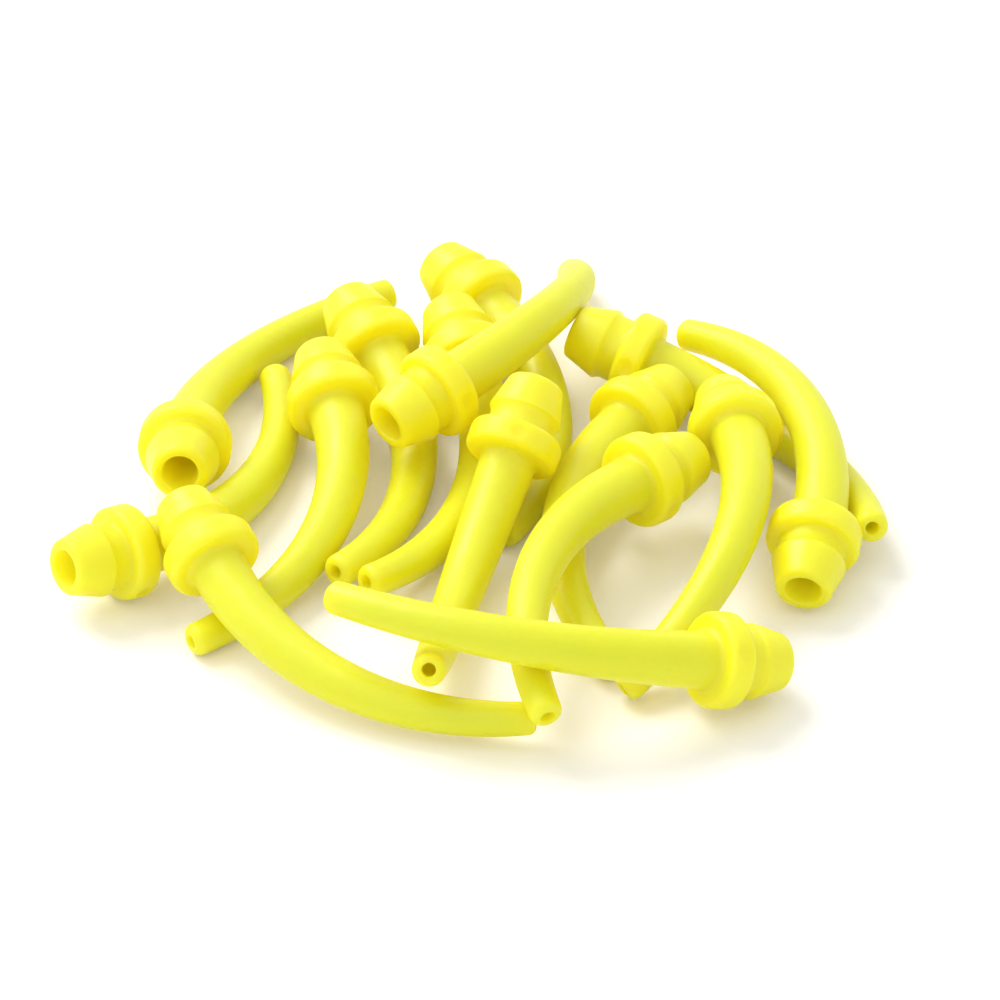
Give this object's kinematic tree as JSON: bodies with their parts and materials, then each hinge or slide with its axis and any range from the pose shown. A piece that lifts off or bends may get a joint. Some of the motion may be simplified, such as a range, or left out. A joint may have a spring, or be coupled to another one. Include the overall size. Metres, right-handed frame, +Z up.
{
  "type": "curved dental tips",
  "caption": "Loose heap of curved, tapering plastic dental tips, each with a snap-in plug, a collar and a passage through to its nozzle.",
  "frame": {"origin": "on the table under the middle of the heap", "axes": "+Z up, +X to the right of the front view, the front faces -Y"},
  "size_m": [0.0614, 0.0622, 0.0114],
  "materials": {
    "tip_plastic": "waxy satin, slightly translucent"
  },
  "bodies": {
    "heap": {"tip_left_middle": "tip_plastic", "tip_middle": "tip_plastic", "tip_rear": "tip_plastic", "tip_centre_right": "tip_plastic"},
    "tip_far_left": {"tip_far_left": "tip_plastic"},
    "tip_left_inner": {"tip_left_inner": "tip_plastic"},
    "tip_front_left": {"tip_front_left": "tip_plastic"},
    "tip_centre": {"tip_centre": "tip_plastic"},
    "tip_right_inner": {"tip_right_inner": "tip_plastic"},
    "tip_front_right": {"tip_front_right": "tip_plastic"},
    "tip_left_rear": {"tip_left_rear": "tip_plastic"},
    "tip_rear_right": {"tip_rear_right": "tip_plastic"},
    "tip_top": {"tip_top": "tip_plastic"},
    "tip_far_right": {"tip_far_right": "tip_plastic"},
    "tip_right_middle": {"tip_right_middle": "tip_plastic"}
  },
  "joints": [
    {"name": "far_left_lift", "type": "slide", "parent": "heap", "child": "tip_far_left", "axis": [0, 0, 1], "range_m": [0, 0.03]},
    {"name": "left_inner_lift", "type": "slide", "parent": "tip_far_left", "child": "tip_left_inner", "axis": [0, 0, 1], "range_m": [0, 0.03]},
    {"name": "front_left_lift", "type": "slide", "parent": "tip_left_inner", "child": "tip_front_left", "axis": [0, 0, 1], "range_m": [0, 0.03]},
    {"name": "centre_lift", "type": "slide", "parent": "tip_front_left", "child": "tip_centre", "axis": [0, 0, 1], "range_m": [0, 0.03]},
    {"name": "right_inner_lift", "type": "slide", "parent": "tip_centre", "child": "tip_right_inner", "axis": [0, 0, 1], "range_m": [0, 0.03]},
    {"name": "front_right_lift", "type": "slide", "parent": "tip_right_inner", "child": "tip_front_right", "axis": [0, 0, 1], "range_m": [0, 0.03]},
    {"name": "left_rear_lift", "type": "slide", "parent": "tip_far_left", "child": "tip_left_rear", "axis": [0, 0, 1], "range_m": [0, 0.03]},
    {"name": "rear_right_lift", "type": "slide", "parent": "heap", "child": "tip_rear_right", "axis": [0, 0, 1], "range_m": [0, 0.03]},
    {"name": "top_lift", "type": "slide", "parent": "tip_rear_right", "child": "tip_top", "axis": [0, 0, 1], "range_m": [0, 0.03]},
    {"name": "far_right_lift", "type": "slide", "parent": "tip_rear_right", "child": "tip_far_right", "axis": [0, 0, 1], "range_m": [0, 0.03]},
    {"name": "right_middle_lift", "type": "slide", "parent": "tip_far_right", "child": "tip_right_middle", "axis": [0, 0, 1], "range_m": [0, 0.03]}
  ]
}
